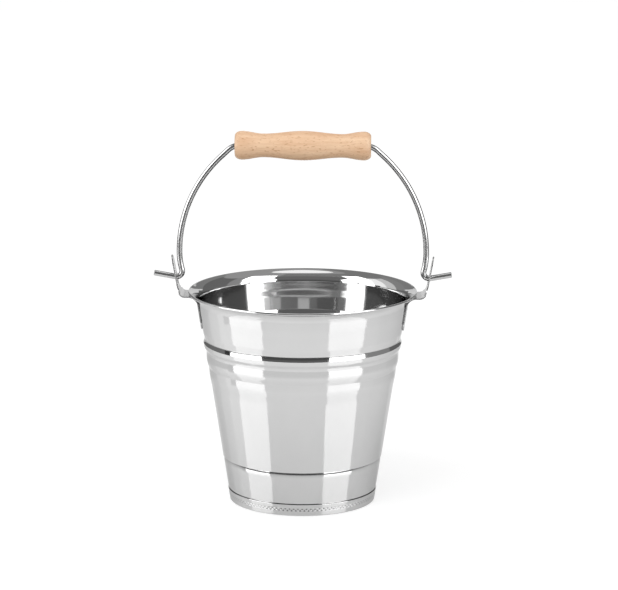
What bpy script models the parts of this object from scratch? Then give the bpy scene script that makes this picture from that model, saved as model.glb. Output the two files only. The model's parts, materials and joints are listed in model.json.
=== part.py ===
"""Small steel pail with a swinging wire bail and a turned wooden grip.

Six separate pieces: the drawn wall with its curled rim, the crimped base, two formed ears,
the wire bail that swings in the ears, and the grip that turns on the bail.
Metres, Z up. The base stands on z = 0, the ears lie on the X axis, and the bail is upright.
"""

import math

import bmesh
import bpy
from mathutils import Matrix, Vector

# Wall
RIM_RADIUS = 0.1000
RIM_HEIGHT = 0.1858  # centre of the rolled bead
RIM_BEAD = 0.0021  # diameter of the bead
LIP_OVERHANG = 0.0074  # rim past the cone of the wall
LIP_BEND = 0.0120  # radius under the flared lip
LIP_TURN = math.radians(60)  # lip from the vertical
FOOT_RADIUS = 0.0638
SHEET = 0.0006

# Rolled steps and ridges of the wall, as drops below the rim and depths from the cone
STEP_DROP = 0.0399
STEP_WIDTH = 0.0043
STEP_INSET = 0.0003
STEP_PROUD = 0.0012
STEP_LAND = 0.0033  # height of the flat below the step
BAND_FADE = 0.0055  # height in which the upper band narrows to the step
FIRST_CREASE = 0.0088  # step's lower edge down to the crease over the first ridge
RIDGE_PITCH = 0.0130
RIDGE_PROUD = (0.0008, 0.0004)  # each ridge from the top
RIDGE_SWELL = 0.0070  # crease down to the crown below it
RIDGE_FADE = 0.0120  # last crown down to the plain cone
LOWER_STEP_DROP = 0.1465
LOWER_STEP_EDGE = 0.0006  # height in which the wall steps in
LOWER_STEP_DEPTH = 0.0010
LOWER_STEP_FADE = 0.0050
LOWER_BAND_INSET = 0.00025

# Crimped base
HOOP_HEIGHT = 0.0104
HOOP_PROUD = 0.0001
HOOP_ROUND = 0.0008
FOOT_ROUND = 0.0004  # inner edge of the foot
JOGGLE = 0.0009  # height over the hoop in which the wall steps in behind it
BASE_RECESS = 0.0080
BASE_BEND = 0.0012

# Ears
EAR_SHEET = 0.0012
EAR_REACH = 0.0105  # rim out to the plate, at the hole
EAR_LEAN = math.radians(10.5)  # of the tongue
EAR_FOOT_LEAN = math.radians(22)  # of the plate below the tongue
EAR_KNEE_RISE = 0.0045  # rim bead's centre up to where the lean changes
EAR_KNEE_BEND = 0.0150
EAR_BEND = 0.0055
EAR_TAB_WIDTH = 0.0300
EAR_TAB_DROP = 0.0340
EAR_TAB_ROUND = 0.0080
EAR_TONGUE_WIDTH = 0.0150
EAR_SHELF_DROP = 0.0005  # rim bead's centre down to where the ear narrows
EAR_TIP_RISE = 0.0195  # hole up to the tip
PIVOT_RISE = 0.0122  # rim bead's centre up to the hole

# Bail
WIRE = 0.0050
HOLE_CLEARANCE = 0.0011
BAIL_RISE = 0.1165  # hole up to the grip's axis
LEG_INSET = 0.0029  # ear plate in to the leg, where the bail is widest
LEG_BEND = 0.0600  # radius below the widest place
LEG_RISE = 0.0222  # hole up to where the bail is widest
SHOULDER_SLOPE = math.radians(43)
SHOULDER_BEND = 0.0160
SHOULDER_DEPTH = 0.0050  # start of the shoulder's bend inside the grip
HOOK_BEND = 0.0050
HOOK_ROOM = 1.5  # height of the hook above the hole, in bends
STUB_REACH = 0.0195
STUB_TILT = math.radians(10)

# Grip
GRIP_LENGTH = 0.1180
GRIP_BELLY = 0.0255
GRIP_WAIST = 0.0205
GRIP_BEAD = 0.0250
BEAD_WIDTH = 0.0125
GRIP_FACE = 0.0170  # diameter of the flat at each end
WAIST_INSET = 0.0248  # grip's end in to the waist
BORE_CLEARANCE = 0.0007
COUNTERSINK = 0.0012  # wider at the radius
COUNTERSINK_DEPTH = 0.0025

# Fits and facets
GAP = 0.0003  # between pieces that touch
TAB_GAP = 0.00035  # ear off the wall that it is welded to
RIM_GAP = 0.0016  # ear below the bead
TURNS = 56
GRIP_TURNS = 32
HOLE_SIDES = 32
WIRE_LEVEL = 4  # bevel resolution of the wire
SMALL_STEPS = 4  # facets round a corner of the base or the bail's shoulder
LIP_STEPS = 6
BEAD_STEPS = 10
RIDGE_STEPS = 3
EAR_STEPS = 8  # facets round each bend of an ear
KNEE_STEPS = 3
EAR_COLUMNS = 8
OUTLINE_STEPS = 6
BOW_STEPS = 18
LEG_STEPS = 5
HOOK_STEPS = 7
BELLY_STEPS = 5
MERGE = 0.000001
SHARP = math.radians(35)

# Colour, metallic value and roughness
STEEL = ((0.64, 0.64, 0.64, 1.0), 1.0, 0.10)
EAR_STEEL = ((0.68, 0.68, 0.68, 1.0), 1.0, 0.20)
WIRE_STEEL = ((0.62, 0.62, 0.62, 1.0), 1.0, 0.18)
BEECH = ((0.77, 0.51, 0.34, 1.0), 0.0, 0.50)

# Worked out from the values above
TOP_RADIUS = RIM_RADIUS - LIP_OVERHANG
TAPER = math.atan2(TOP_RADIUS - FOOT_RADIUS, RIM_HEIGHT)
PIVOT_HEIGHT = RIM_HEIGHT + PIVOT_RISE
PIVOT_SPREAD = RIM_RADIUS + EAR_REACH
GRIP_HEIGHT = PIVOT_HEIGHT + BAIL_RISE
STEP_BOTTOM = STEP_DROP + STEP_WIDTH


def cone_radius(z):
    """Outer radius of the plain tapered wall at a height."""
    return FOOT_RADIUS + z * math.tan(TAPER)


def arc(centre, radius, start, end, steps):
    """Points along a circle, with both ends, from one angle to another."""
    turn = (end - start) / steps
    angles = [start + turn * i for i in range(steps + 1)]
    return [(centre[0] + radius * math.cos(a), centre[1] + radius * math.sin(a)) for a in angles]


def fillet(before, corner, after, radius, steps):
    """Points that round the corner between two straight runs."""
    corner = Vector(corner)
    back = (Vector(before) - corner).normalized()
    ahead = (Vector(after) - corner).normalized()
    half = back.angle(ahead) / 2
    centre = corner + (back + ahead).normalized() * radius / math.sin(half)
    reach = radius / math.tan(half)
    start = corner + back * reach - centre
    end = corner + ahead * reach - centre
    turn = start.angle_signed(end)
    points = []
    for i in range(steps + 1):
        ray = Matrix.Rotation(-turn * i / steps, 2) @ start
        points.append(tuple(centre + ray))
    return points


def smooth(start, end, steps):
    """Eased points from one (height, size) pair to another, without the first."""
    points = []
    for i in range(1, steps + 1):
        share = i / steps
        ease = (1 - math.cos(math.pi * share)) / 2
        points.append((start[0] + (end[0] - start[0]) * share, start[1] + (end[1] - start[1]) * ease))
    return points


def lip_lines(skin):
    """Corner and far end of the flared lip, for the skin that lies this far inside the outer one."""
    edge = RIM_BEAD / 2 - SHEET + skin
    end = Vector((RIM_RADIUS - RIM_BEAD / 2, RIM_HEIGHT))
    end += edge * Vector((-math.cos(LIP_TURN), math.sin(LIP_TURN)))
    wall = FOOT_RADIUS - skin / math.cos(TAPER)
    rise = 1 / math.tan(LIP_TURN)
    height = (end.y - rise * (end.x - wall)) / (1 - rise * math.tan(TAPER))
    return (wall + height * math.tan(TAPER), height), tuple(end)


def lip_arc(skin):
    """The bend from the wall into the lip, from the lip down to the wall."""
    corner, end = lip_lines(skin)
    return fillet(end, corner, (FOOT_RADIUS - skin, 0), LIP_BEND + skin, LIP_STEPS)


def swell(start, end, steps):
    """Points that leave one (drop, depth) pair at a slope and level out at another, without the first."""
    points = []
    for i in range(1, steps + 1):
        share = i / steps
        rise = math.sin(math.pi / 2 * share)
        points.append((start[0] + (end[0] - start[0]) * share, start[1] + (end[1] - start[1]) * rise))
    return points


def wall_swages():
    """(drop below the rim, depth from the cone) down the wall."""
    stations = [(STEP_DROP - BAND_FADE, 0), (STEP_DROP, -STEP_INSET)]
    stations += [(STEP_BOTTOM, STEP_PROUD), (STEP_BOTTOM + STEP_LAND, STEP_PROUD)]
    for ridge, proud in enumerate(RIDGE_PROUD):
        crease = (STEP_BOTTOM + FIRST_CREASE + RIDGE_PITCH * ridge, 0)
        crown = (crease[0] + RIDGE_SWELL, proud)
        stations.append(crease)
        stations += swell(crease, crown, RIDGE_STEPS)
    stations.append((crown[0] + RIDGE_FADE, 0))
    stations += [(LOWER_STEP_DROP - LOWER_STEP_EDGE, 0), (LOWER_STEP_DROP, -LOWER_STEP_DEPTH)]
    stations.append((LOWER_STEP_DROP + LOWER_STEP_FADE, -LOWER_BAND_INSET))
    return stations


def seam_radius(z, layer):
    """Face of the foot's seam: 0 is the hoop's outside, 1 its inside, 2 and 3 the wall, 4 and 5 the leg."""
    sheets = (layer + 1) // 2
    gaps = layer // 2
    return cone_radius(z) + HOOP_PROUD - sheets * SHEET - gaps * GAP


def wall_skin(skin):
    """One face of the wall, from the lip down into the foot's seam."""
    points = lip_arc(skin)
    for drop, depth in wall_swages():
        height = RIM_HEIGHT - drop
        points.append((cone_radius(height) + depth - skin, height))
    joggle = HOOP_HEIGHT + GAP + JOGGLE
    points.append((cone_radius(joggle) - LOWER_BAND_INSET - skin, joggle))
    for height in (HOOP_HEIGHT + GAP, SHEET + GAP):
        points.append((seam_radius(height, 2) - skin, height))
    return points


def wall_profile():
    """Closed section of the wall: bead, outer face down, inner face up."""
    centre = (RIM_RADIUS - RIM_BEAD / 2, RIM_HEIGHT)
    over = math.pi / 2 + (math.pi / 2 - LIP_TURN)
    under = math.acos((RIM_BEAD / 2 - SHEET) / (RIM_BEAD / 2))
    bead = arc(centre, RIM_BEAD / 2, over, over + under - 2 * math.pi, BEAD_STEPS)
    return bead + wall_skin(0) + wall_skin(SHEET)[::-1]


def base_profile():
    """Section of the base from the axis out over the floor, round the seam and back below."""
    floor = BASE_RECESS + SHEET
    leg_out = (seam_radius(floor, 4), floor)
    leg_in = (seam_radius(BASE_RECESS, 5), BASE_RECESS)
    leg_foot = (seam_radius(SHEET, 4), SHEET)
    outer_foot = (seam_radius(0, 0), 0)
    inner_foot = (seam_radius(0, 5), 0)
    hoop_top = (seam_radius(HOOP_HEIGHT, 0), HOOP_HEIGHT)
    points = [(0, floor)]
    points += fillet((0, floor), leg_out, leg_foot, BASE_BEND + SHEET, SMALL_STEPS)
    points += [leg_foot, (seam_radius(SHEET, 1), SHEET), (seam_radius(HOOP_HEIGHT, 1), HOOP_HEIGHT)]
    points.append(hoop_top)
    points += fillet(hoop_top, outer_foot, inner_foot, HOOP_ROUND, SMALL_STEPS)
    points += fillet(outer_foot, inner_foot, leg_in, FOOT_ROUND, SMALL_STEPS // 2)
    points += fillet(inner_foot, leg_in, (0, BASE_RECESS), BASE_BEND, SMALL_STEPS)
    points.append((0, BASE_RECESS))
    return points


def ear_path():
    """(x, z) along the middle of the ear's sheet at y = 0, from the tab's end up to the tip."""
    off = (TAB_GAP + EAR_SHEET / 2) / math.cos(TAPER)
    level = RIM_HEIGHT - RIM_BEAD / 2 - RIM_GAP - EAR_SHEET / 2
    knee_height = RIM_HEIGHT + EAR_KNEE_RISE
    knee = (PIVOT_SPREAD - (PIVOT_HEIGHT - knee_height) * math.tan(EAR_LEAN), knee_height)
    low = (cone_radius(RIM_HEIGHT - EAR_TAB_DROP) + off, RIM_HEIGHT - EAR_TAB_DROP)
    inner = (cone_radius(level) + off, level)
    outer = (knee[0] - (knee_height - level) * math.tan(EAR_FOOT_LEAN), level)
    tip = (PIVOT_SPREAD + EAR_TIP_RISE * math.tan(EAR_LEAN), PIVOT_HEIGHT + EAR_TIP_RISE)
    lip_start = lip_arc(0)[-1][1]
    turn = math.pi / 2 - TAPER
    shoulder = (level - lip_start) / math.cos(TAPER) / math.tan(turn / 2)
    path = [low]
    path += fillet(low, inner, outer, shoulder, EAR_STEPS)
    path += fillet(inner, outer, knee, EAR_BEND, EAR_STEPS)
    path += fillet(outer, knee, tip, EAR_KNEE_BEND, KNEE_STEPS)
    path.append(tip)
    return path


def ear_outline():
    """(y, z) outline of the ear seen along X, for y from 0 to its side and back."""
    side = EAR_TAB_WIDTH / 2
    tongue = EAR_TONGUE_WIDTH / 2
    low = RIM_HEIGHT - EAR_TAB_DROP
    flare = side - tongue
    shelf = RIM_HEIGHT - EAR_SHELF_DROP
    tip = PIVOT_HEIGHT + EAR_TIP_RISE - tongue
    half = []
    for y, z in arc((0, 0), 1, -math.pi / 2, 0, OUTLINE_STEPS):
        half.append((side * y, low + EAR_TAB_ROUND * (1 + z)))
    half += arc((side, shelf + flare), flare, -math.pi / 2, -math.pi, OUTLINE_STEPS)
    half += arc((0, tip), tongue, 0, math.pi / 2, OUTLINE_STEPS)
    return half + [(-y, z) for y, z in half[-2:0:-1]]


def bail_half():
    """(x, z) along one half of the bail, from the middle of the grip down to the stub's end."""
    widest = PIVOT_SPREAD - LEG_INSET
    shoulder = SHOULDER_BEND * math.tan(SHOULDER_SLOPE / 2)
    corner = Vector((GRIP_LENGTH / 2 - SHOULDER_DEPTH + shoulder, GRIP_HEIGHT))
    level = PIVOT_HEIGHT + LEG_RISE
    brow = Vector((widest, corner.y - (widest - corner.x) * math.tan(SHOULDER_SLOPE)))
    slope_room = (brow - corner).length - shoulder
    leg_room = brow.y - level
    bow_bend = min(leg_room, slope_room) / math.tan((math.pi / 2 - SHOULDER_SLOPE) / 2)
    foot_rise = HOOK_BEND * HOOK_ROOM
    dip = math.asin((LEG_RISE - foot_rise) / LEG_BEND)
    bow = fillet(corner, brow, (widest, 0), bow_bend, BOW_STEPS)
    leg = arc((widest - LEG_BEND, level), LEG_BEND, 0, -dip, LEG_STEPS)
    bow += leg if leg_room > slope_room else leg[1:]
    foot = Vector(bow[-1])
    down = Vector((-math.sin(dip), -math.cos(dip)))
    slope = math.tan(STUB_TILT)
    run = (PIVOT_HEIGHT - foot.y + slope * (foot.x - PIVOT_SPREAD)) / (down.y - slope * down.x)
    hook = foot + down * run
    end = (PIVOT_SPREAD + STUB_REACH, PIVOT_HEIGHT + slope * STUB_REACH)
    points = [(0, GRIP_HEIGHT)]
    points += fillet((0, GRIP_HEIGHT), corner, bow[0], SHOULDER_BEND, SMALL_STEPS)
    points += bow
    points += fillet(foot, hook, end, HOOK_BEND, HOOK_STEPS)
    points.append(end)
    return points


def grip_profile():
    """Closed section of the grip as (radius, place along its axis), outside down and bore up."""
    half = GRIP_LENGTH / 2
    bead_place = half - BEAD_WIDTH / 2
    waist_place = half - WAIST_INSET
    bore = WIRE / 2 + BORE_CLEARANCE
    upper = [(0, GRIP_BELLY / 2)]
    upper += smooth(upper[-1], (waist_place, GRIP_WAIST / 2), BELLY_STEPS)
    upper += smooth(upper[-1], (bead_place, GRIP_BEAD / 2), SMALL_STEPS)
    drop = (GRIP_BEAD - GRIP_FACE) / 2
    for along, out in arc((0, 0), 1, math.pi / 2, 0, BELLY_STEPS)[1:]:
        upper.append((bead_place + along * BEAD_WIDTH / 2, GRIP_BEAD / 2 - drop * (1 - out)))
    upper += [(half, bore + COUNTERSINK), (half - COUNTERSINK_DEPTH, bore)]
    right = [(radius, place) for place, radius in upper]
    return right[::-1] + [(radius, -place) for radius, place in right[1:]]


def collection(name):
    made = bpy.data.collections.new(name)
    bpy.context.scene.collection.children.link(made)
    return made


def material(name, finish):
    colour, metallic, roughness = finish
    made = bpy.data.materials.new(name)
    made.use_nodes = True
    shader = made.node_tree.nodes["Principled BSDF"]
    shader.inputs["Base Color"].default_value = colour
    shader.inputs["Metallic"].default_value = metallic
    shader.inputs["Roughness"].default_value = roughness
    return made


def add(name, data, group):
    made = bpy.data.objects.new(name, data)
    group.objects.link(made)
    return made


def baked(thing, group):
    """The object as a plain mesh under the same name, smooth but for its sharp edges."""
    graph = bpy.context.evaluated_depsgraph_get()
    mesh = bpy.data.meshes.new_from_object(thing.evaluated_get(graph))
    shape = bmesh.new()
    shape.from_mesh(mesh)
    bmesh.ops.remove_doubles(shape, verts=shape.verts, dist=MERGE)
    shape.to_mesh(mesh)
    shape.free()
    name, place = thing.name, thing.matrix_world.copy()
    bpy.data.objects.remove(thing)
    made = add(name, mesh, group)
    made.matrix_world = place
    mesh.shade_smooth()
    mesh.set_sharp_from_angle(angle=SHARP)
    return made


def turned(name, section, turns, group, closed=True):
    """A solid of revolution about Z from (radius, height) points."""
    count = len(section)
    edges = [(i, (i + 1) % count) for i in range(count if closed else count - 1)]
    mesh = bpy.data.meshes.new(name)
    mesh.from_pydata([(r, 0, z) for r, z in section], edges, [])
    made = add(name, mesh, group)
    screw = made.modifiers.new("turn", "SCREW")
    screw.steps = screw.render_steps = turns
    screw.use_merge_vertices = True
    screw.merge_threshold = MERGE
    return made


def cutter(name, data, group):
    made = add(name, data, group)
    made.hide_render = True
    made.display_type = "WIRE"
    return made


def boolean(thing, other, operation):
    change = thing.modifiers.new(other.name, "BOOLEAN")
    change.operation = operation
    change.object = other
    change.solver = "EXACT"


def outline_prism(name, outline, depth, group):
    """The (y, z) outline drawn out along X to both sides of the axis, as a mesh."""
    curve = bpy.data.curves.new(name, "CURVE")
    curve.dimensions = "2D"
    curve.fill_mode = "BOTH"
    curve.extrude = depth
    spline = curve.splines.new("POLY")
    spline.points.add(len(outline) - 1)
    for point, (y, z) in zip(spline.points, outline):
        point.co = (y, z, 0, 1)
    spline.use_cyclic_u = True
    drawn = add(name, curve, group)
    drawn.matrix_world = Matrix(((0, 0, 1, 0), (1, 0, 0, 0), (0, 1, 0, 0), (0, 0, 0, 1)))
    bpy.context.view_layer.update()
    made = baked(drawn, group)
    made.hide_render = True
    made.display_type = "WIRE"
    return made


def ear_sheet(name, group):
    """The ear's bent sheet before it is trimmed: a grid laid along the path, round the wall at the tab."""
    path = ear_path()
    runs = len(path) - 1
    side = EAR_TAB_WIDTH / 2 + GAP
    shape = bmesh.new()
    bmesh.ops.create_grid(shape, x_segments=runs, y_segments=EAR_COLUMNS, size=1)
    for vertex in shape.verts:
        place = round((vertex.co.x + 1) / 2 * runs)
        y = vertex.co.y * side
        x, z = path[place]
        into_bend = min(1, max(0, (place - 1) / EAR_STEPS))
        hug = 1 - into_bend
        x -= hug * (x - math.sqrt(x * x - y * y))
        vertex.co = (x, y, z)
    bmesh.ops.recalc_face_normals(shape, faces=shape.faces)
    mesh = bpy.data.meshes.new(name)
    shape.to_mesh(mesh)
    shape.free()
    made = add(name, mesh, group)
    thick = made.modifiers.new("sheet", "SOLIDIFY")
    thick.thickness = EAR_SHEET
    thick.offset = 0
    thick.use_even_offset = True
    return made


def make_ears(group, cutters):
    """Two ears of one shape, the left one turned half round."""
    ear = ear_sheet("ear_right", group)
    trim = outline_prism("ear_outline", ear_outline(), 2 * RIM_RADIUS, cutters)
    shape = bmesh.new()
    bmesh.ops.create_cone(
        shape,
        cap_ends=True,
        segments=HOLE_SIDES,
        radius1=WIRE / 2 + HOLE_CLEARANCE,
        radius2=WIRE / 2 + HOLE_CLEARANCE,
        depth=2 * EAR_REACH,
    )
    mesh = bpy.data.meshes.new("ear_hole")
    shape.to_mesh(mesh)
    shape.free()
    hole = cutter("ear_hole", mesh, cutters)
    place = Matrix.Translation((PIVOT_SPREAD, 0, PIVOT_HEIGHT))
    hole.matrix_world = place @ Matrix.Rotation(math.pi / 2, 4, "Y")
    boolean(ear, trim, "INTERSECT")
    boolean(ear, hole, "DIFFERENCE")
    bpy.context.view_layer.update()
    right = baked(ear, group)
    left = add("ear_left", right.data.copy(), group)
    left.rotation_euler.z = math.pi
    return right, left


def make_bail(group, pivot):
    """The wire, with its origin on the line through both ear holes."""
    half = bail_half()
    path = [(-x, z) for x, z in half[:0:-1]] + half
    curve = bpy.data.curves.new("bail_wire", "CURVE")
    curve.dimensions = "3D"
    curve.bevel_depth = WIRE / 2
    curve.bevel_resolution = WIRE_LEVEL
    curve.use_fill_caps = True
    spline = curve.splines.new("POLY")
    spline.points.add(len(path) - 1)
    for point, (x, z) in zip(spline.points, path):
        point.co = (x, 0, z - PIVOT_HEIGHT, 1)
    drawn = add("bail_wire", curve, group)
    bpy.context.view_layer.update()
    wire = baked(drawn, group)
    wire.parent = pivot
    return wire


def empty(name, place, group, parent=None):
    made = add(name, None, group)
    made.parent = parent
    made.location = place
    return made


def build():
    for thing in list(bpy.data.objects):
        bpy.data.objects.remove(thing)
    parts = collection("sauna_bucket")
    cutters = collection("cutters")
    cutters.hide_render = True

    wall = baked(turned("bucket_wall", wall_profile(), TURNS, parts), parts)
    base = baked(turned("base_pan", base_profile(), TURNS, parts, closed=False), parts)
    right, left = make_ears(parts, cutters)

    pivot = empty("bail_pivot", (0, 0, PIVOT_HEIGHT), parts)
    wire = make_bail(parts, pivot)
    axis = empty("grip_axis", (0, 0, BAIL_RISE), parts, pivot)
    grip = baked(turned("grip", grip_profile(), GRIP_TURNS, parts), parts)
    grip.parent = axis
    grip.rotation_euler.y = math.pi / 2

    polished = material("polished_steel", STEEL)
    for piece, name, finish in (
        (right, "ear_right_steel", EAR_STEEL),
        (left, "ear_left_steel", EAR_STEEL),
        (wire, "bail_steel", WIRE_STEEL),
        (grip, "grip_beech", BEECH),
        (base, "base_steel", STEEL),
    ):
        piece.data.materials.clear()
        piece.data.materials.append(material(name, finish))
    wall.data.materials.append(polished)


build()
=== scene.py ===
"""Looks of the steel pail: fine meshes, steel and beech materials, a small studio and the camera.

Metres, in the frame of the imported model: Z up, foot on z = 0, ears on the X axis, camera towards -Y.
"""

import json
import math

import bmesh
import bpy
from mathutils import Matrix, Vector


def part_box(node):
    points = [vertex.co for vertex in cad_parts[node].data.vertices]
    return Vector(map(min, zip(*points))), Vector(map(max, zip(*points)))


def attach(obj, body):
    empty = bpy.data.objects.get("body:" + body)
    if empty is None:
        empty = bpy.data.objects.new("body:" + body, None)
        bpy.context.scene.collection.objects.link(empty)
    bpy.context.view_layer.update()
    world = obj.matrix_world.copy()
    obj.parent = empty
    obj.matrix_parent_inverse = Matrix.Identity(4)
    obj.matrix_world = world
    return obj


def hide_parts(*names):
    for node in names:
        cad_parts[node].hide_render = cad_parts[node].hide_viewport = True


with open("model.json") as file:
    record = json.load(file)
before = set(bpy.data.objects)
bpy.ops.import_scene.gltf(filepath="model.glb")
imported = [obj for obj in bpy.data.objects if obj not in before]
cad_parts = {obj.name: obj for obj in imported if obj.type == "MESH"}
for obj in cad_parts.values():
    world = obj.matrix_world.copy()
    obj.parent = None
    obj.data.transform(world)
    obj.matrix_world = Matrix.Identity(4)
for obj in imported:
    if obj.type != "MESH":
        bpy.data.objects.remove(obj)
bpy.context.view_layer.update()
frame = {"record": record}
WALL_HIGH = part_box("bucket_wall")[1]
BASE_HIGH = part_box("base_pan")[1]
EAR_LOW, EAR_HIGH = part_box("ear_right")
WIRE_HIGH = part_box("bail_wire")[1]
GRIP_LOW, GRIP_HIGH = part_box("grip")
PIVOT_HEIGHT = frame["record"]["behaviour"]["joints"][0]["pos_m"][2]
GRIP_HEIGHT = frame["record"]["behaviour"]["joints"][1]["pos_m"][2]

# Wall and its rolled profile, as drops below the rim and depths out from the cone
RIM_BEAD = 0.0021
RIM_RADIUS = WALL_HIGH.x
RIM_HEIGHT = WALL_HIGH.z - RIM_BEAD / 2
LIP_OVERHANG = 0.0074
LIP_BEND = 0.0120
LIP_TURN = math.radians(60)
SHEET = 0.0006
HOOP_HEIGHT = BASE_HIGH.z
HOOP_PROUD = 0.0001
STEP_DROP = 0.0399
STEP_BOTTOM = 0.0442
STEP_INSET = 0.0003
STEP_PROUD = 0.0012
STEP_LAND = 0.0033
LAND_FALL = 0.0035
BAND_FADE = 0.0055
FIRST_CREASE = 0.0088
RIDGE_PITCH = 0.0130
RIDGE_PROUD = (0.0008, 0.0004)
RIDGE_SWELL = 0.0070
CREST_PART = 0.28
LIFT_POWER = 1.35
RIDGE_FADE = 0.0120
LOWER_STEP_DROP = 0.1465
LOWER_STEP_EDGE = 0.0006
LOWER_STEP_DEPTH = 0.00115
LOWER_STEP_FADE = 0.0050
LOWER_BAND_INSET = 0.00025
# Drop and lean past the cone's, in degrees, of the band that was rolled between the lip and the step
BAND_LEAN = (
    (0.0091, -3.0),
    (0.0120, -1.9),
    (0.0150, -1.7),
    (0.0180, -0.05),
    (0.0208, 0.5),
    (0.0222, 0.4),
    (0.0250, -0.45),
    (0.0290, 0.05),
    (0.0344, 0.8),
)

# Crimped base
SEAM_GAP = 0.0003
HOOP_EDGE = SHEET / 3
HOOP_ROUND = 0.0008
FOOT_ROUND = 0.0004
JOGGLE = 0.0009
BASE_RECESS = 0.0080
BASE_BEND = 0.0012
KNURL_COUNT = 110
KNURL_ROWS = 2
KNURL_TOP = 0.0073
KNURL_SIZE = 0.0016
KNURL_STEEP = 0.2
KNURL_DEPTH = 0.00045

# Ears
EAR_SHEET = 0.0012
EAR_REACH = 0.0105
EAR_LEAN = math.radians(10.5)
EAR_FOOT_LEAN = math.radians(22)
EAR_KNEE_RISE = 0.0045
EAR_KNEE_BEND = 0.0150
EAR_BEND = 0.0055
EAR_TAB_WIDTH = 2 * EAR_HIGH.y
EAR_TAB_ROUND = 0.0080
EAR_TONGUE_WIDTH = 0.0150
EAR_SHELF_DROP = 0.0005
EAR_EDGE = 0.00012  # radius at the corners of the cut edges
TAB_GAP = 0.00035
WELD_SPREAD = 0.0070  # spot welds out from the middle of the tab
WELD_RISE = 0.0130  # tab's end up to the spot welds
WELD_RADIUS = 0.0028
WELD_DEPTH = 0.00018
RIM_GAP = 0.0016
HOLE_RADIUS = 0.0036
HOLE_CHAMFER = 0.0003

# Bail
WIRE = 2 * WIRE_HIGH.y
LEG_INSET = 0.0029
LEG_BEND = 0.0600
LEG_RISE = 0.0222
SHOULDER_SLOPE = math.radians(43)
SHOULDER_BEND = 0.0160
SHOULDER_DEPTH = 0.0050
HOOK_BEND = 0.0050
HOOK_ROOM = 1.5  # of the hook's bend, from the pivot's height up to the end of the leg's arc
STUB_REACH = 0.0195
STUB_TILT = math.radians(10)
WIRE_CHAMFER = 0.0004

# Grip
GRIP_LENGTH = GRIP_HIGH.x - GRIP_LOW.x
GRIP_BELLY = GRIP_HIGH.z - GRIP_LOW.z
GRIP_WAIST = 0.0205
GRIP_BEAD = 0.0250
BEAD_WIDTH = 0.0125
GRIP_FACE = 0.0170
WAIST_INSET = 0.0248
BORE_RADIUS = 0.0032
COUNTERSINK = 0.0012
COUNTERSINK_DEPTH = 0.0025
SCORE_INSET = 0.0100
SCORE_DEPTH = 0.00012
SCORE_WIDTH = 0.0010

# Rows and columns of the fine meshes
TURNS = 288
GRIP_TURNS = 96
KNURL_TURNS = 6 * KNURL_COUNT
ROW = 0.0012
FINE_ROW = ROW / 2
CREASE = 0.00022  # from a mark of the profile to the row beside it
BEND_STEPS = 20
BOW_STEPS = 80
BEAD_STEPS = 28
SMALL_STEPS = 6
EDGE_FLAT = 0.93  # place of a row that holds the flat of a cut edge
WIRE_SIDES = 28
HOLE_SIDES = 64
HOLE_REACH = 4 * EAR_SHEET  # of the tool that cuts the hole, past the sheet
EAR_COLUMNS = 44
EAR_ROW = 0.0006
BASE_ROW = 0.0050
KNURL_ROW = 0.0002
MERGE = 0.0000002
SHARP = math.radians(38)

# Camera, from the photograph's perspective
CAMERA_TURN = math.radians(1.5)
CAMERA_REACH = 2.600
CAMERA_SIDE = 0.0060
CAMERA_HEIGHT = 0.7218
CAMERA_PITCH = math.radians(11.72)
CAMERA_ROLL = math.radians(0.151)
CAMERA_YAW = math.radians(0.01)
CAMERA_LENS = 176.85
CAMERA_SENSOR = 36
CAMERA_CLIP = (0.05, 60)

# Noise in the materials
NOISE_RANGE = (0.3, 0.7)  # that its values mostly cover
NOISE_ROUGH = 0.55

# Steel, with the noise's scales along X, Y and Z
STEEL_EDGE = 0.76  # share of the usual brightness at a grazing look
STEEL_CLOUDS = (38, 38, 22)
CLOUD_DETAIL = 4
CLOUD_SHADE = 0.97  # share of the grey where the clouds are duller
STEEL_WAVES = (16, 16, 9)
WAVE_DETAIL = 1
HAIRLINE_DETAIL = 3
HAIRLINE_SHARE = 0.5  # in the unevenness of the polish, the rest being clouds
POLISH_RANGE = (0.35, 0.65)
# Grey, range of roughness, scales and depth of the hairlines, depth of the waviness
STEELS = {
    "polished_steel": (0.64, (0.04, 0.09), (30, 30, 3500), 0.0000012, 0.0004),
    "satin_steel": (0.68, (0.12, 0.18), (2600, 60, 60), 0.000002, 0.0001),
    "wire_steel": (0.55, (0.18, 0.24), (300, 300, 300), 0.0000004, 0.00002),
}

# Beech, with the noise's scales along X, Y and Z
BEECH_BANDS = (9, 110, 150)
BAND_DETAIL = 3
BAND_STOPS = ((0.36, (0.800, 0.505, 0.310, 1)), (0.64, (0.960, 0.690, 0.465, 1)))
BEECH_FIBRES = (70, 1500, 1500)
FIBRE_DETAIL = 2
FIBRE_SHARE = 0.34
FIBRE_COLOUR = (0.66, 0.38, 0.20, 1)
FIBRE_DEPTH = 0.00006
BEECH_RAYS = (260, 1500, 900)
RAY_DETAIL = 1
RAY_ROUGH = 0.4
RAY_SHARE = 0.60
RAY_RANGE = (0.63, 0.71)
RAY_COLOUR = (0.50, 0.23, 0.10, 1)
BEECH_ROUGH = (0.46, 0.58)
BEECH_GLOSS = 0.35

# World and floor
SHOWN_RAYS = ("Is Camera Ray", "Is Glossy Ray", "Is Transmission Ray")
DIRECT_RAYS = ("Is Camera Ray", "Is Transmission Ray")
MIRROR_RAYS = ("Is Glossy Ray",)
AMBIENT = 0.80  # strength of the world as light on the object
FLOOR_SIZE = 40
FLOOR_CELLS = 4
FLOOR_DROP = 0.0001
FLOOR_WHITE = 0.60
FLOOR_LIFT = 0.52  # glow that makes the floor white where it shows
FLOOR_IOR = 1.8
FLOOR_ROUGH = 0.05
MIRROR_LIFT = 0.56  # glow in mirror images, from FOOT_FAR outwards
PAINTED_SHADE_SHARE = 0.60  # of that glow kept within FOOT_NEAR of the axis: painted shade round the foot, seen in mirror images
FOOT_NEAR = 0.05
FOOT_FAR = 0.30

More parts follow.
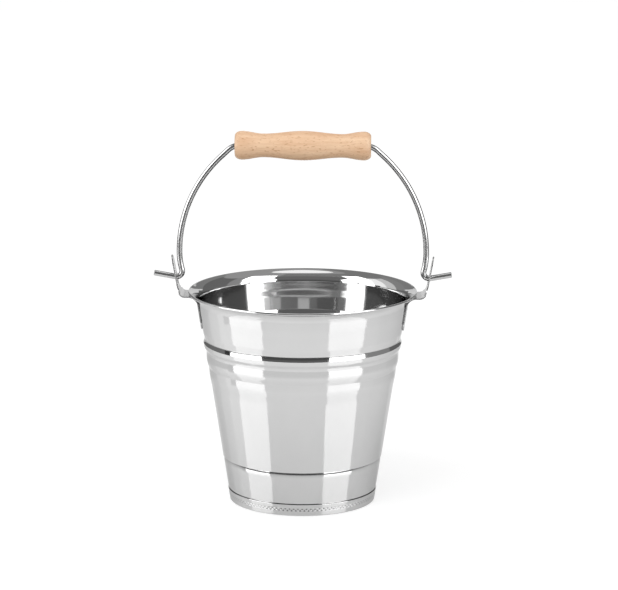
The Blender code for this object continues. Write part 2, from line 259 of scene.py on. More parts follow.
# Lamps: name, place, size and power
LAMPS = (
    ("lamp_top", (-0.7, -0.9, 1.9), 1.2, 9),
    ("lamp_fill", (0.4, -1.6, 0.3), 0.5, 4),
)

# Cards round the object: name, brightness, rows of (radius, height, azimuths from the camera's side)
DARK = 0.05
CARDS = (
    ("mat_front", DARK, ((0.67, 0.002, -47, 31), (0.88, 0.002, -47, 31))),
    ("room_front", 0.09, ((1.06, 0.002, -47, 31), (2.2, 0.002, -47, 31), (2.2, 0.62, -47, 31))),
    ("room_front_mid", 0.15, ((2.2, 0.62, -47, 31), (2.2, 1.0, -47, 31))),
    ("room_front_high", 0.19, ((2.2, 1.0, -62, 40), (2.2, 2.4, -62, 40))),
    ("skirting", 0.10, ((1.72, 0.002, -91, 77), (1.72, 0.13, -91, 77))),
    (
        "softbox_left",
        4.0,
        ((1.7, 0.12, -89, -47), (1.7, 0.95, -90, -47), (1.7, 1.35, -92, -60), (1.7, 2.45, -92, -60)),
    ),
    (
        "softbox_right",
        4.0,
        ((1.7, 0.12, 31, 75), (1.7, 0.9, 31, 76), (1.7, 1.2, 36, 79), (1.7, 2.45, 36, 79)),
    ),
    ("room_far_left", 0.20, ((1.0, 0.002, -162, -130), (2.2, 0.002, -162, -130), (2.2, 0.55, -162, -130))),
    ("room_left_low", 0.22, ((1.0, 0.002, -130, -90), (2.2, 0.002, -130, -90), (2.2, 0.49, -130, -90))),
    ("edge_left", DARK, ((1.9, 0.002, -99, -90), (1.9, 0.60, -99, -90))),
    ("light_left", 1.30, ((2.2, 0.49, -110, -90), (2.2, 2.40, -110, -90))),
    ("light_left_back", 0.80, ((2.2, 0.49, -130, -110), (2.2, 2.40, -130, -110))),
    ("room_left_back", 0.33, ((2.2, 0.55, -152, -130), (2.2, 2.4, -152, -130))),
    ("room_right_low", 0.32, ((1.0, 0.002, 75, 118), (2.2, 0.002, 75, 118), (2.2, 0.55, 75, 118))),
    ("room_far_right", 0.18, ((1.0, 0.002, 118, 158), (2.2, 0.002, 118, 158), (2.2, 0.55, 118, 158))),
    ("room_right", 0.35, ((2.2, 0.55, 77, 97), (2.2, 2.4, 77, 97))),
    ("room_right_back", 0.19, ((2.2, 0.55, 97, 147), (2.2, 2.4, 97, 147))),
    ("room_back", 0.30, ((2.2, 0.69, 147, 208), (2.2, 2.4, 147, 208))),
    ("window_back", 0.90, ((2.1, 0.85, 166, 192), (2.1, 1.60, 166, 192))),
    ("room_slant_left", 0.27, ((2.2, 2.4, -180, 31), (1.3, 3.3, -180, 31))),
    ("room_slant_right", 0.42, ((2.2, 2.4, 31, 180), (1.3, 3.3, 31, 180))),
    ("room_top", 0.42, ((1.3, 3.3, -180, 180), (0.0, 3.9, -180, 180))),
    ("softbox_top", 1.40, ((0.0, 3.15, -180, 180), (0.85, 3.15, -180, 180))),
)
CARD_STEP = 3  # degrees from one column of a card to the next

# Cone of the wall and spread of the ears, from the sizes above
TOP_RADIUS = RIM_RADIUS - LIP_OVERHANG
FOOT_SLOPE_RADIUS = BASE_HIGH.x - HOOP_PROUD
TAPER = math.atan2(TOP_RADIUS - FOOT_SLOPE_RADIUS, RIM_HEIGHT - HOOP_HEIGHT)
FOOT_RADIUS = FOOT_SLOPE_RADIUS - HOOP_HEIGHT * math.tan(TAPER)
PIVOT_SPREAD = RIM_RADIUS + EAR_REACH


def cone_radius(z):
    """Outer radius of the plain tapered wall at a height."""
    return FOOT_RADIUS + z * math.tan(TAPER)


def arc(centre, radius, start, end, steps):
    """Points along a circle, with both ends, from one angle to another."""
    turn = (end - start) / steps
    angles = [start + turn * i for i in range(steps + 1)]
    return [(centre[0] + radius * math.cos(a), centre[1] + radius * math.sin(a)) for a in angles]


def fillet(before, corner, after, radius, steps):
    """Points that round the corner between two straight runs."""
    corner = Vector(corner)
    back = (Vector(before) - corner).normalized()
    ahead = (Vector(after) - corner).normalized()
    half = back.angle(ahead) / 2
    centre = corner + (back + ahead).normalized() * radius / math.sin(half)
    reach = radius / math.tan(half)
    start = corner + back * reach - centre
    end = corner + ahead * reach - centre
    turn = start.angle_signed(end)
    points = []
    for i in range(steps + 1):
        points.append(tuple(centre + Matrix.Rotation(-turn * i / steps, 2) @ start))
    return points


def line(share):
    """Even from start to end."""
    return share


def ease(share):
    """Starts and ends level."""
    return (1 - math.cos(math.pi * share)) / 2


def settle(share):
    """Starts at a slope that lessens evenly to level."""
    return 1 - (1 - share) * (1 - share)


def sag(share):
    """Starts level and ends at a slope."""
    return 1 - math.cos(math.pi / 2 * share)


def crest(share):
    """Rises evenly and levels out over its last part."""
    slope = 1 / (1 - CREST_PART / 2)
    if share < 1 - CREST_PART:
        return slope * share
    return 1 - slope * (1 - share) * (1 - share) / (2 * CREST_PART)


def lift(share):
    """Starts level and steepens to the end."""
    return share ** LIFT_POWER


def run(start, end, form):
    """Rows from one (drop, depth) pair to the next, without the first, with one close to each end."""
    length = end[0] - start[0]
    count = max(2, math.ceil(length / ROW))
    shares = {i / count for i in range(1, count + 1)}
    shares |= {CREASE / length, 1 - CREASE / length}
    rows = []
    for share in sorted(shares):
        rows.append((start[0] + length * share, start[1] + (end[1] - start[1]) * form(share)))
    return rows


def straight(start, end, spacing):
    """Points between two ends of a straight stretch, without both ends."""
    start, end = Vector(start), Vector(end)
    count = max(1, math.ceil((end - start).length / spacing))
    return [tuple(start.lerp(end, i / count)) for i in range(1, count)]


def lip_lines(inset):
    """Corner and far end of the flared lip, for the face that lies this far inside the outer one."""
    edge = RIM_BEAD / 2 - SHEET + inset
    end = Vector((RIM_RADIUS - RIM_BEAD / 2, RIM_HEIGHT))
    end += edge * Vector((-math.cos(LIP_TURN), math.sin(LIP_TURN)))
    wall = FOOT_RADIUS - inset / math.cos(TAPER)
    rise = 1 / math.tan(LIP_TURN)
    height = (end.y - rise * (end.x - wall)) / (1 - rise * math.tan(TAPER))
    return (wall + height * math.tan(TAPER), height), tuple(end)


def lip_arc(inset):
    """The bend between lip and wall, from the lip down, of the face that lies this far inside."""
    corner, end = lip_lines(inset)
    return fillet(end, corner, (FOOT_RADIUS - inset, 0), LIP_BEND + inset, BEND_STEPS)


def band_lean(drop):
    """Lean of the upper band past the cone's, in radians."""
    for (start, first), (end, second) in zip(BAND_LEAN, BAND_LEAN[1:]):
        if drop <= end:
            return math.radians(first + (second - first) * max(0, drop - start) / (end - start))
    return math.radians(BAND_LEAN[-1][1])


def band_rows():
    """(drop, depth) down the upper band, from the lip's bend to where it narrows to the step."""
    drop = RIM_HEIGHT - lip_arc(0)[-1][1]
    count = math.ceil((STEP_DROP - BAND_FADE - drop) / FINE_ROW)
    spacing = (STEP_DROP - BAND_FADE - drop) / count
    depth = 0
    rows = []
    for _ in range(count):
        depth -= spacing * math.tan(band_lean(drop + spacing / 2))
        drop += spacing
        rows.append((drop, depth))
    return rows


def wall_rows():
    """(drop below the rim, depth from the cone) down the wall, from below the lip's bend to the hoop."""
    marks = [
        (STEP_DROP, -STEP_INSET, line),
        (STEP_BOTTOM, STEP_PROUD, lift),
        (STEP_BOTTOM + STEP_LAND, STEP_PROUD, line),
        (STEP_BOTTOM + STEP_LAND + LAND_FALL, 0, ease),
    ]
    for ridge, proud in enumerate(RIDGE_PROUD):
        crease = STEP_BOTTOM + FIRST_CREASE + RIDGE_PITCH * ridge
        marks += [(crease, 0, sag), (crease + RIDGE_SWELL, proud, crest)]
    marks += [
        (crease + RIDGE_SWELL + RIDGE_FADE, 0, ease),
        (LOWER_STEP_DROP - LOWER_STEP_EDGE, 0, line),
        (LOWER_STEP_DROP, -LOWER_STEP_DEPTH, line),
        (LOWER_STEP_DROP + LOWER_STEP_FADE, -LOWER_BAND_INSET, settle),
        (RIM_HEIGHT - HOOP_HEIGHT - SEAM_GAP - JOGGLE, -LOWER_BAND_INSET, line),
    ]
    rows = band_rows()
    last = rows[-1]
    for drop, depth, form in marks:
        rows += run(last, (drop, depth), form)
        last = (drop, depth)
    return rows


def seam_radius(z, layer):
    """Face of the foot's seam: 0 is the hoop's outside, 1 its inside, 2 and 3 the wall, 4 and 5 the leg."""
    sheets = (layer + 1) // 2
    gaps = layer // 2
    return cone_radius(z) + HOOP_PROUD - sheets * SHEET - gaps * SEAM_GAP


def wall_face(inset):
    """One face of the wall, from the lip down into the foot's seam."""
    points = lip_arc(inset)
    for drop, depth in wall_rows():
        height = RIM_HEIGHT - drop
        points.append((cone_radius(height) + depth - inset, height))
    for height in (HOOP_HEIGHT + SEAM_GAP, SHEET + SEAM_GAP):
        points.append((seam_radius(height, 2) - inset, height))
    return points


def wall_section():
    """Closed section of the wall: bead, outer face down, inner face up."""
    centre = (RIM_RADIUS - RIM_BEAD / 2, RIM_HEIGHT)
    over = math.pi - LIP_TURN
    under = math.acos((RIM_BEAD / 2 - SHEET) / (RIM_BEAD / 2))
    bead = arc(centre, RIM_BEAD / 2, over, over + under - 2 * math.pi, BEAD_STEPS)
    outer = wall_face(0)
    inner = wall_face(SHEET)[::-1]
    lip_out = straight(bead[-1], outer[0], FINE_ROW)
    lip_in = straight(inner[-1], bead[0], FINE_ROW)
    return bead + lip_out + outer + inner + lip_in


def base_section():
    """Section of the base from the axis out over the floor, round the seam and back below."""
    floor = BASE_RECESS + SHEET
    leg_out = (seam_radius(floor, 4), floor)
    leg_in = (seam_radius(BASE_RECESS, 5), BASE_RECESS)
    leg_foot = (seam_radius(SHEET, 4), SHEET)
    outer_foot = (seam_radius(0, 0), 0)
    inner_foot = (seam_radius(0, 5), 0)
    hoop_top = (seam_radius(HOOP_HEIGHT, 0), HOOP_HEIGHT)
    hoop_back = (seam_radius(HOOP_HEIGHT, 1), HOOP_HEIGHT)
    floor_bend = fillet((0, floor), leg_out, leg_foot, BASE_BEND + SHEET, SMALL_STEPS)
    edge = fillet(hoop_back, hoop_top, outer_foot, HOOP_EDGE, SMALL_STEPS // 2)
    foot = fillet(hoop_top, outer_foot, inner_foot, HOOP_ROUND, SMALL_STEPS)
    points = [(0, floor)] + straight((0, floor), floor_bend[0], BASE_ROW) + floor_bend
    points += [leg_foot, (seam_radius(SHEET, 1), SHEET), hoop_back]
    points += edge + straight(edge[-1], foot[0], KNURL_ROW) + foot
    points += fillet(outer_foot, inner_foot, leg_in, FOOT_ROUND, SMALL_STEPS // 2)
    points += fillet(inner_foot, leg_in, (0, BASE_RECESS), BASE_BEND, SMALL_STEPS)
    points.append((0, BASE_RECESS))
    return points


def ear_path():
    """(x, z) along the middle of the ear's sheet at y = 0, from the tab's end up to the tip."""
    off = (TAB_GAP + EAR_SHEET / 2) / math.cos(TAPER)
    level = RIM_HEIGHT - RIM_BEAD / 2 - RIM_GAP - EAR_SHEET / 2
    knee_height = RIM_HEIGHT + EAR_KNEE_RISE
    knee = (PIVOT_SPREAD - (PIVOT_HEIGHT - knee_height) * math.tan(EAR_LEAN), knee_height)
    low = (cone_radius(EAR_LOW.z) + off, EAR_LOW.z)
    inner = (cone_radius(level) + off, level)
    outer = (knee[0] - (knee_height - level) * math.tan(EAR_FOOT_LEAN), level)
    tip = (PIVOT_SPREAD + (EAR_HIGH.z - PIVOT_HEIGHT) * math.tan(EAR_LEAN), EAR_HIGH.z)
    lip_start = lip_arc(0)[-1][1]
    turn = math.pi / 2 - TAPER
    shoulder = (level - lip_start) / math.cos(TAPER) / math.tan(turn / 2)
    return (
        [low],
        fillet(low, inner, outer, shoulder, BEND_STEPS),
        fillet(inner, outer, knee, EAR_BEND, BEND_STEPS),
        fillet(outer, knee, tip, EAR_KNEE_BEND, SMALL_STEPS),
        [tip],
    )


def ear_half_width(z):
    """Half the width of the ear at a height: rounded tab, concave shoulders and a round tongue."""
    side = EAR_TAB_WIDTH / 2
    tongue = EAR_TONGUE_WIDTH / 2
    flare = side - tongue
    shelf = RIM_HEIGHT - EAR_SHELF_DROP
    if z < EAR_LOW.z + EAR_TAB_ROUND:
        part = 1 - (z - EAR_LOW.z) / EAR_TAB_ROUND
        return side * math.sqrt(max(0, 1 - part * part))
    if z < shelf:
        return side
    if z < shelf + flare:
        part = shelf + flare - z
        return side - math.sqrt(flare * flare - part * part)
    part = max(0, z - (EAR_HIGH.z - tongue))
    return math.sqrt(max(0, tongue * tongue - part * part))


def bail_half():
    """(x, z) along one half of the bail, from the middle of the grip down to the stub's end."""
    widest = PIVOT_SPREAD - LEG_INSET
    shoulder = SHOULDER_BEND * math.tan(SHOULDER_SLOPE / 2)
    corner = Vector((GRIP_LENGTH / 2 - SHOULDER_DEPTH + shoulder, GRIP_HEIGHT))
    level = PIVOT_HEIGHT + LEG_RISE
    brow = Vector((widest, corner.y - (widest - corner.x) * math.tan(SHOULDER_SLOPE)))
    bow_bend = (brow.y - level) / math.tan((math.pi / 2 - SHOULDER_SLOPE) / 2)
    dip = math.asin((LEG_RISE - HOOK_BEND * HOOK_ROOM) / LEG_BEND)
    bow = fillet(corner, brow, (widest, 0), bow_bend, BOW_STEPS)
    bow += arc((widest - LEG_BEND, level), LEG_BEND, 0, -dip, BEND_STEPS)[1:]
    foot = Vector(bow[-1])
    down = Vector((-math.sin(dip), -math.cos(dip)))
    slope = math.tan(STUB_TILT)
    length = (PIVOT_HEIGHT - foot.y + slope * (foot.x - PIVOT_SPREAD)) / (down.y - slope * down.x)
    end = (PIVOT_SPREAD + STUB_REACH, PIVOT_HEIGHT + slope * STUB_REACH)
    points = [(0, GRIP_HEIGHT)]
    points += fillet((0, GRIP_HEIGHT), corner, bow[0], SHOULDER_BEND, BEND_STEPS)
    points += bow
    points += fillet(foot, foot + down * length, end, HOOK_BEND, BEND_STEPS)
    points.append(end)
    return points


def grip_section():
    """Section of the grip as (radius, place along its axis), from the bore over the outside and back."""
    half = GRIP_LENGTH / 2
    bead_place = half - BEAD_WIDTH / 2
    waist_place = half - WAIST_INSET
    upper = [(0, GRIP_BELLY / 2)]
    for place, radius in ((waist_place, GRIP_WAIST / 2), (bead_place, GRIP_BEAD / 2)):
        upper += run(upper[-1], (place, radius), ease)
    drop = (GRIP_BEAD - GRIP_FACE) / 2
    for along, out in arc((0, 0), 1, math.pi / 2, 0, BEND_STEPS)[1:]:
        upper.append((bead_place + along * BEAD_WIDTH / 2, GRIP_BEAD / 2 - drop * (1 - out)))
    score = half - SCORE_INSET
    rows = []
    for place, radius in upper:
        away = abs(place - score) / SCORE_WIDTH
        rows.append((place, radius - SCORE_DEPTH * max(0, 1 - away * away)))
    rows += [(half, BORE_RADIUS + COUNTERSINK), (half - COUNTERSINK_DEPTH, BORE_RADIUS)]
    right = [(radius, place) for place, radius in rows]
    return right[::-1] + [(radius, -place) for radius, place in right[1:]]


def linked(name, shape):
    """An object of the scene from a bmesh, which it frees."""
    mesh = bpy.data.meshes.new(name)
    shape.to_mesh(mesh)
    shape.free()
    made = bpy.data.objects.new(name, mesh)
    bpy.context.scene.collection.objects.link(made)
    return made


def finished(name, shape):
    """A smooth-shaded object from a bmesh, sharp only at its real edges."""
    bmesh.ops.remove_doubles(shape, verts=shape.verts, dist=MERGE)
    bmesh.ops.recalc_face_normals(shape, faces=shape.faces)
    made = linked(name, shape)
    made.data.shade_smooth()
    made.data.set_sharp_from_angle(angle=SHARP)
    return made


def skin(rings, around=True, caps=False):
    """A bmesh of quads through rings of points, which may close on themselves and be capped."""
    shape = bmesh.new()
    rows = [[shape.verts.new(point) for point in ring] for ring in rings]
    count = len(rows[0])
    for first, second in zip(rows, rows[1:]):
        for i in range(count if around else count - 1):
            j = (i + 1) % count
            shape.faces.new((first[i], first[j], second[j], second[i]))
    if caps:
        shape.faces.new(rows[0])
        shape.faces.new(rows[-1][::-1])
    return shape


def turned(name, section, turns, dent=None):
    """A solid of revolution about Z; dent(angle, radius, height) is how far the surface sinks there."""
    rings = []
    for radius, height in section:
        ring = []
        for i in range(turns):
            angle = 2 * math.pi * i / turns
            out = radius - (dent(angle, radius, height) if dent else 0)
            ring.append((out * math.cos(angle), out * math.sin(angle), height))
        rings.append(ring)
    starts_on_axis = section[0][0] <= MERGE
    if not starts_on_axis:
        rings.append(rings[0])
    return finished(name, skin(rings))


def knurl(angle, radius, height):
    """Depth of the small dimples rolled into the hoop in staggered rows."""
    if radius < seam_radius(height, 0) - SHEET / 2:
        return 0
    row, down = divmod((KNURL_TOP - height) / KNURL_SIZE, 1)
    if not 0 <= row < KNURL_ROWS:
        return 0
    sink = min(down / KNURL_STEEP, (1 - down) / (1 - KNURL_STEEP))
    swing = (1 + math.cos(angle * KNURL_COUNT + math.pi * row)) / 2
    return KNURL_DEPTH * sink * swing


def make_ear(name, side):
    """The formed strip, as a rounded section carried along the ear's path."""
    stretches = ear_path()
    path = []
    for stretch in stretches:
        if path:
            path += straight(path[-1], stretch[0], EAR_ROW)
        path += stretch
    bend_low, bend_high = stretches[1][0], stretches[1][-1]
    rings = []
    for index, (x, z) in enumerate(path):
        before = Vector(path[max(0, index - 1)])
        after = Vector(path[min(len(path) - 1, index + 1)])
        along = (after - before).normalized()
        outward = Vector((along.y, -along.x))
        hug = 0
        if x < bend_high[0]:
            hug = max(0, min(1, (bend_high[1] - z) / (bend_high[1] - bend_low[1])))
        half = max(ear_half_width(z), EAR_EDGE)
        rings.append(ear_ring(x, z, outward, half, hug, side))
    ear = finished(name, skin(rings, caps=True))
    cut_hole(ear, side)
    return ear


def weld_mark(y, z):
    """Depth of the two spot welds pressed into the tab."""
    off = math.hypot(abs(y) - WELD_SPREAD, z - EAR_LOW.z - WELD_RISE) / WELD_RADIUS
    return WELD_DEPTH * (1 + math.cos(math.pi * min(1, off))) / 2


def ear_ring(x, z, outward, half, hug, side):
    """Points round the ear's section at one place; hug is the share by which it follows the round wall."""
    ring = []
    edge = min(EAR_EDGE, half)
    flat = half - edge
    thick = EAR_SHEET / 2
    upper = [(flat * (2 * i / EAR_COLUMNS - 1), thick) for i in range(EAR_COLUMNS + 1)]
    turn = arc((flat, thick - edge), edge, math.pi / 2, 0, SMALL_STEPS // 2)[1:]
    nose = turn + [(flat + edge, (thick - edge) * EDGE_FLAT)]
    nose += [(y, -t) for y, t in nose[::-1]]
    lower = [(y, -t) for y, t in upper[::-1]]
    other = [(-y, -t) for y, t in nose]
    for y, t in upper + nose + lower + other:
        reach = math.sqrt(x * x - y * y)
        slide = hug * (x - reach)
        lean = hug * y / x
        dented = t - weld_mark(y, z) if t == thick else t
        px = x - slide + outward.x * dented
        py = y + lean * dented * outward.x
        ring.append((side * px, side * py, z + outward.y * dented))
    return ring


def cut_hole(ear, side):
    """Punches the bail's hole through the ear's tongue, with a small chamfer on both faces."""
    depth = EAR_SHEET / 2 * math.cos(EAR_LEAN)
    section = [
        (0, -depth - HOLE_REACH),
        (HOLE_RADIUS + HOLE_REACH, -depth - HOLE_REACH),
        (HOLE_RADIUS, -depth + HOLE_CHAMFER),
        (HOLE_RADIUS, depth - HOLE_CHAMFER),
        (HOLE_RADIUS + HOLE_REACH, depth + HOLE_REACH),
        (0, depth + HOLE_REACH),
    ]
    tool = turned("hole_tool", section, HOLE_SIDES)
    lean = Matrix.Rotation(side * (math.pi / 2 - EAR_LEAN), 4, "Y")
    tool.matrix_world = Matrix.Translation((side * PIVOT_SPREAD, 0, PIVOT_HEIGHT)) @ lean
    bpy.context.view_layer.update()
    cut = ear.modifiers.new("hole", "BOOLEAN")
    cut.object = tool
    cut.operation = "DIFFERENCE"
    graph = bpy.context.evaluated_depsgraph_get()
    mesh = bpy.data.meshes.new_from_object(ear.evaluated_get(graph))
    ear.modifiers.clear()
    ear.data = mesh
    bpy.data.objects.remove(tool)


def make_wire():
    """The bail as a round bar along its path, with chamfered ends."""
    half = bail_half()
    path = [Vector((-x, z)) for x, z in half[:0:-1]] + [Vector(point) for point in half]
    rings = []
    for index, point in enumerate(path):
        before = path[max(0, index - 1)]
        after = path[min(len(path) - 1, index + 1)]
        along = (after - before).normalized()
        normal = Vector((along.y, -along.x))
        sizes = [(0, WIRE / 2)]
        if index == 0:
            sizes = [(0, WIRE / 2 - WIRE_CHAMFER), (WIRE_CHAMFER, WIRE / 2)]
        if index == len(path) - 1:
            sizes = [(-WIRE_CHAMFER, WIRE / 2), (0, WIRE / 2 - WIRE_CHAMFER)]
        for shift, radius in sizes:
            ring = []
            for step in range(WIRE_SIDES):
                angle = 2 * math.pi * step / WIRE_SIDES
                place = point + along * shift + normal * radius * math.cos(angle)
                ring.append((place.x, radius * math.sin(angle), place.y))
            rings.append(ring)
    return finished("bail_rod", skin(rings, caps=True))


def node(tree, kind, inputs=None, **settings):
    """Adds a shader node, sets its properties and fills its inputs with values or links."""
    made = tree.nodes.new(kind)
    for key, value in settings.items():
        setattr(made, key, value)
    for key, value in (inputs or {}).items():
        if isinstance(value, bpy.types.NodeSocket):
            tree.links.new(value, made.inputs[key])
        else:
            made.inputs[key].default_value = value
    return made


def grey(level):
    """A colour of this level in all three parts."""
    return (level, level, level, 1)


def new_material(name):
    """A material, its node tree and its shader."""
    made = bpy.data.materials.new(name)
    made.use_nodes = True
    return made, made.node_tree, made.node_tree.nodes["Principled BSDF"]


def noise(tree, place, scale, detail, rough=NOISE_ROUGH):
    """Noise with a scale of its own along each axis."""
    stretched = node(tree, "ShaderNodeMapping", {"Vector": place, "Scale": scale})
    made = node(
        tree,
        "ShaderNodeTexNoise",
        {"Vector": stretched.outputs[0], "Scale": 1.0, "Detail": detail, "Roughness": rough},
    )
    return made.outputs["Fac"]


def spread(tree, value, low, high, from_low=NOISE_RANGE[0], from_high=NOISE_RANGE[1]):
    """The value, moved from one range to another."""
    made = node(
        tree,
        "ShaderNodeMapRange",
        {"Value": value, "From Min": from_low, "From Max": from_high, "To Min": low, "To Max": high},
    )
    return made.outputs["Result"]


def maths(tree, operation, first, second):
    """The result of one operation on two values or sockets."""
    return node(tree, "ShaderNodeMath", {0: first, 1: second}, operation=operation).outputs[0]


def steel(name, level, rough, hairlines, hairline_depth, wave_depth):
    """Bare steel: uneven polish, fine hairlines and a slight waviness."""
    made, tree, shader = new_material(name)
    place = node(tree, "ShaderNodeTexCoord").outputs["Object"]
    lines = noise(tree, place, hairlines, HAIRLINE_DETAIL)
    clouds = noise(tree, place, STEEL_CLOUDS, CLOUD_DETAIL)
    waves = noise(tree, place, STEEL_WAVES, WAVE_DETAIL)
    line_part = maths(tree, "MULTIPLY", lines, HAIRLINE_SHARE)
    cloud_part = maths(tree, "MULTIPLY", clouds, 1 - HAIRLINE_SHARE)
    mixed = maths(tree, "ADD", line_part, cloud_part)
    tree.links.new(spread(tree, mixed, *rough, *POLISH_RANGE), shader.inputs["Roughness"])
    tint = node(tree, "ShaderNodeMix", {"Factor": spread(tree, clouds, 0, 1)}, data_type="RGBA")
    tint.inputs["A"].default_value = grey(level * CLOUD_SHADE)
    tint.inputs["B"].default_value = grey(level)
    tree.links.new(tint.outputs["Result"], shader.inputs["Base Color"])
    shader.inputs["Metallic"].default_value = 1
    shader.inputs["Specular Tint"].default_value = grey(STEEL_EDGE)
    waved = node(tree, "ShaderNodeBump", {"Height": waves, "Distance": wave_depth, "Strength": 1.0})
    scratched = node(
        tree,
        "ShaderNodeBump",
        {"Height": lines, "Distance": hairline_depth, "Strength": 1.0, "Normal": waved.outputs[0]},
    )
    tree.links.new(scratched.outputs[0], shader.inputs["Normal"])
    return made


def beech():
    """Pale beech turned along X: soft year bands, fine fibres and short dark rays."""
    made, tree, shader = new_material("beech")
    place = node(tree, "ShaderNodeTexCoord").outputs["Object"]
    bands = noise(tree, place, BEECH_BANDS, BAND_DETAIL)
    fibres = noise(tree, place, BEECH_FIBRES, FIBRE_DETAIL)
    rays = noise(tree, place, BEECH_RAYS, RAY_DETAIL, rough=RAY_ROUGH)
    ramp = node(tree, "ShaderNodeValToRGB", {"Fac": bands})
    for stop, (position, colour) in zip(ramp.color_ramp.elements, BAND_STOPS):
        stop.position = position
        stop.color = colour
    fibre_share = spread(tree, fibres, 0, FIBRE_SHARE)
    fibre_tint = node(tree, "ShaderNodeMix", {"Factor": fibre_share}, data_type="RGBA")
    tree.links.new(ramp.outputs["Color"], fibre_tint.inputs["A"])
    fibre_tint.inputs["B"].default_value = FIBRE_COLOUR
    ray_share = spread(tree, rays, 0, RAY_SHARE, *RAY_RANGE)
    ray_tint = node(tree, "ShaderNodeMix", {"Factor": ray_share}, data_type="RGBA")
    tree.links.new(fibre_tint.outputs["Result"], ray_tint.inputs["A"])
    ray_tint.inputs["B"].default_value = RAY_COLOUR
    tree.links.new(ray_tint.outputs["Result"], shader.inputs["Base Color"])
    tree.links.new(spread(tree, fibres, *BEECH_ROUGH), shader.inputs["Roughness"])
    shader.inputs["Specular IOR Level"].default_value = BEECH_GLOSS
    bump = node(tree, "ShaderNodeBump", {"Height": fibres, "Distance": FIBRE_DEPTH, "Strength": 1.0})
    tree.links.new(bump.outputs[0], shader.inputs["Normal"])
    return made


def seen_by_rays(tree, kinds):
    """1 for a ray of one of these kinds, else 0."""
    path = node(tree, "ShaderNodeLightPath")
    total = path.outputs[kinds[0]]
    for kind in kinds[1:]:
        total = maths(tree, "MAXIMUM", total, path.outputs[kind])
    return total


def make_world():
    """White where it shows, and a little dimmer as light on the object."""
    world = bpy.data.worlds.new("studio")
    bpy.context.scene.world = world
    world.use_nodes = True
    tree = world.node_tree
    background = tree.nodes["Background"]
    background.inputs["Color"].default_value = grey(1)
    strength = spread(tree, seen_by_rays(tree, SHOWN_RAYS), AMBIENT, 1.0, 0, 1)
    tree.links.new(strength, background.inputs["Strength"])


def bare_tree(thing):
    """Gives the thing a new material without nodes, and returns its node tree."""
    made = bpy.data.materials.new(thing.name)
    made.use_nodes = True
    made.node_tree.nodes.clear()
    thing.data.materials.append(made)
    return made.node_tree


def make_floor():
    """A floor that shows white, and that the steel mirrors as glossy and as darker near the pail, where the
    dimming is painted shade.
    """
    shape = bmesh.new()
    bmesh.ops.create_grid(shape, x_segments=FLOOR_CELLS, y_segments=FLOOR_CELLS, size=FLOOR_SIZE / 2)
    floor = linked("floor", shape)
    floor.location.z = -FLOOR_DROP
    tree = bare_tree(floor)
    matt = node(tree, "ShaderNodeBsdfDiffuse", {"Color": grey(FLOOR_WHITE)})
    direct = maths(tree, "MULTIPLY", seen_by_rays(tree, DIRECT_RAYS), FLOOR_LIFT)
    place = node(tree, "ShaderNodeTexCoord").outputs["Object"]
    away = node(tree, "ShaderNodeVectorMath", {0: place}, operation="LENGTH").outputs["Value"]
    # painted shade: the glow that mirror images show fades towards the pail's foot, in place of the pail's
    # shadow there
    level = spread(tree, away, MIRROR_LIFT * PAINTED_SHADE_SHARE, MIRROR_LIFT, FOOT_NEAR, FOOT_FAR)
    mirrored = maths(tree, "MULTIPLY", seen_by_rays(tree, MIRROR_RAYS), level)
    glow = node(tree, "ShaderNodeEmission", {"Strength": maths(tree, "ADD", direct, mirrored)})
    pale = node(tree, "ShaderNodeAddShader", {0: matt.outputs[0], 1: glow.outputs[0]})
    gloss = node(tree, "ShaderNodeBsdfAnisotropic", {"Roughness": FLOOR_ROUGH})
    fresnel = node(tree, "ShaderNodeFresnel", {"IOR": FLOOR_IOR}).outputs[0]
    share = maths(tree, "MULTIPLY", fresnel, seen_by_rays(tree, MIRROR_RAYS))
    coated = node(tree, "ShaderNodeMixShader", {0: share, 1: pale.outputs[0], 2: gloss.outputs[0]})
    node(tree, "ShaderNodeOutputMaterial", {"Surface": coated.outputs[0]})


def make_card(name, brightness, rows):
    """A glowing sheet swept round the object, which only reflections show."""
    widest = max(end - start for _, _, start, end in rows)
    steps = max(1, round(widest / CARD_STEP))
    rings = []
    for i in range(steps + 1):
        ring = []
        for radius, height, start, end in rows:
            azimuth = math.radians(start + (end - start) * i / steps) + CAMERA_TURN
            ring.append((radius * math.sin(azimuth), -radius * math.cos(azimuth), height))
        rings.append(ring)
    card = linked(name, skin(rings, around=False))
    tree = bare_tree(card)
    glow = node(tree, "ShaderNodeEmission", {"Strength": brightness})
    node(tree, "ShaderNodeOutputMaterial", {"Surface": glow.outputs[0]})
    card.visible_camera = False
    card.visible_diffuse = False
    card.visible_shadow = False
    card.visible_transmission = False
    card.visible_volume_scatter = False


def make_lamp(name, place, size, power):
    """A square lamp aimed at the middle of the object, which reflections don't show."""
    data = bpy.data.lights.new(name, "AREA")
    data.size = size
    data.energy = power
    lamp = bpy.data.objects.new(name, data)
    lamp.location = place
    aim = Vector((0, 0, GRIP_HEIGHT / 2)) - Vector(place)
    lamp.rotation_euler = aim.to_track_quat("-Z", "Y").to_euler()
    lamp.visible_glossy = False
    lamp.visible_camera = False
    bpy.context.scene.collection.objects.link(lamp)


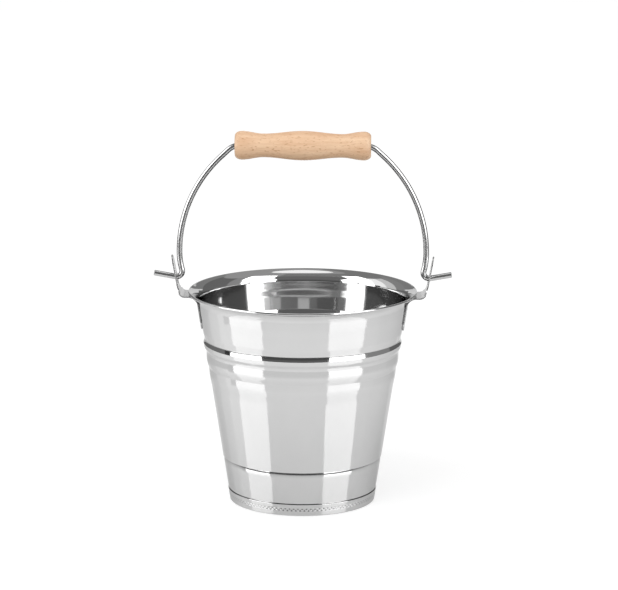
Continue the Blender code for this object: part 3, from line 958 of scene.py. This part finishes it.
def make_camera():
    """The camera at the photograph's viewing angle."""
    data = bpy.data.cameras.new("camera")
    data.lens = CAMERA_LENS
    data.sensor_width = CAMERA_SENSOR
    data.clip_start, data.clip_end = CAMERA_CLIP
    camera = bpy.data.objects.new("camera", data)
    turn = Matrix.Rotation(CAMERA_TURN, 4, "Z")
    place = turn @ Vector((CAMERA_SIDE, -CAMERA_REACH, CAMERA_HEIGHT))
    tilt = Matrix.Rotation(math.pi / 2 - CAMERA_PITCH, 4, "X")
    aim = Matrix.Rotation(CAMERA_TURN + CAMERA_YAW, 4, "Z") @ tilt
    camera.matrix_world = Matrix.Translation(place) @ aim @ Matrix.Rotation(CAMERA_ROLL, 4, "Z")
    bpy.context.scene.collection.objects.link(camera)
    bpy.context.scene.camera = camera


def dress(piece, body, replaced, material):
    """Puts the piece under the empty of the body it moves with, hides the solid it stands in for, and sets
    its material.
    """
    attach(piece, body)
    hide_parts(replaced)
    piece.data.materials.clear()
    piece.data.materials.append(material)


def main():
    """Sets up the studio and the camera, then makes the six pieces."""
    bpy.context.scene.view_settings.view_transform = "Standard"
    make_camera()
    make_world()
    make_floor()
    for card in CARDS:
        make_card(*card)
    for lamp in LAMPS:
        make_lamp(*lamp)

    looks = {slot: steel(slot, *values) for slot, values in STEELS.items()}
    looks["beech"] = beech()

    wall = turned("wall_skin", wall_section(), TURNS)
    dress(wall, "bucket", "bucket_wall", looks["polished_steel"])
    base = turned("base_skin", base_section(), KNURL_TURNS, knurl)
    dress(base, "bucket", "base_pan", looks["polished_steel"])
    for name, replaced, side in (("right_ear_strip", "ear_right", 1), ("left_ear_strip", "ear_left", -1)):
        dress(make_ear(name, side), "bucket", replaced, looks["satin_steel"])
    dress(make_wire(), "bail", "bail_wire", looks["wire_steel"])
    grip = turned("turned_grip", grip_section(), GRIP_TURNS)
    grip.data.transform(Matrix.Translation((0, 0, GRIP_HEIGHT)) @ Matrix.Rotation(math.pi / 2, 4, "Y"))
    dress(grip, "grip_body", "grip", looks["beech"])
    grip.visible_glossy = False  # the steel shows no trace of the wood


main()
